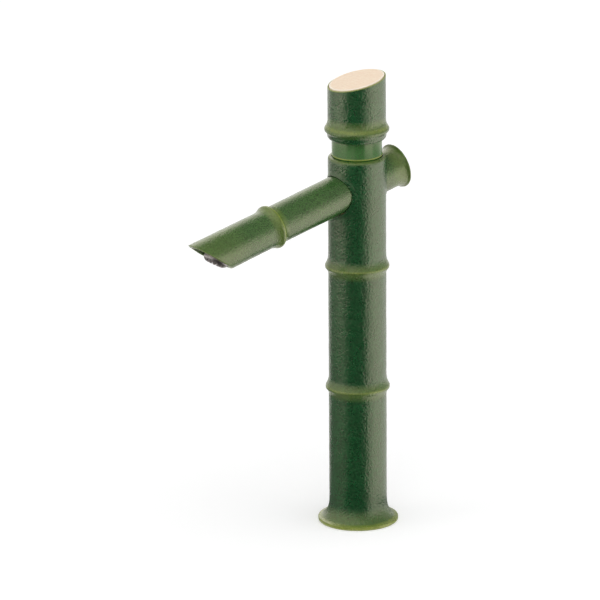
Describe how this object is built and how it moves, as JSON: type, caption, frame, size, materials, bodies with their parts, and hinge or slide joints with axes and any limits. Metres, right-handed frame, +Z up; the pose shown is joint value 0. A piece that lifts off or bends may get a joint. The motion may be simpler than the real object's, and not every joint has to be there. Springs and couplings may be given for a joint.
{
  "type": "bamboo pillar tap",
  "caption": "Deck-mounted pillar tap shaped like green bamboo, with a drooping spout, a flared stub behind and a quarter-turn handle with a pale slanted top.",
  "frame": {"origin": "on the column's axis, at the top of the deck that the foot stands on", "axes": "+Z up along the column, -Y the way the spout points, +X to the right of someone who faces +Y"},
  "size_m": [0.05, 0.1621, 0.3395],
  "materials": {
    "green_cast": "satin enamel over a leathery cast surface",
    "green_satin": "smooth satin enamel",
    "pale_wood": "satin",
    "brass": "machined",
    "copper": "drawn tube",
    "chrome": "polished",
    "steel": "zinc plated",
    "ceramic": "lapped ceramic",
    "rubber": "matt",
    "acetal": "moulded"
  },
  "bodies": {
    "tap_body": {"column_body": "green_cast", "spout_shell": "green_cast", "rear_stub": "green_cast", "neck_sleeve": "green_satin", "valve_body": "brass", "headwork_body": "brass", "headwork_o_ring": "rubber", "fixed_disc": "ceramic", "seat_gasket": "rubber", "riser_tube": "copper", "riser_o_ring_upper": "rubber", "riser_o_ring_lower": "rubber", "spout_tube": "copper", "spout_gasket": "rubber", "spout_o_ring": "rubber", "outlet_socket": "brass", "aerator_gasket": "rubber", "flow_straightener": "acetal", "aerator_housing": "chrome", "inlet_shank": "brass", "base_gasket": "rubber", "deck_gasket": "rubber", "deck_washer": "steel", "lock_nut": "brass"},
    "handle": {"handle_shell": "green_cast", "handle_insert": "pale_wood", "handle_hub": "acetal", "handle_washer": "steel", "handle_screw": "steel", "spindle": "brass", "spindle_o_ring_upper": "rubber", "spindle_o_ring_lower": "rubber", "thrust_washer": "acetal", "stop_ring": "steel", "spindle_clip": "steel", "moving_disc": "ceramic"}
  },
  "joints": [
    {"name": "handle_turn", "type": "hinge", "parent": "tap_body", "child": "handle", "pos_m": [0, 0, 0.2453], "axis": [0, 0, 1], "range_deg": [0, 90]}
  ]
}
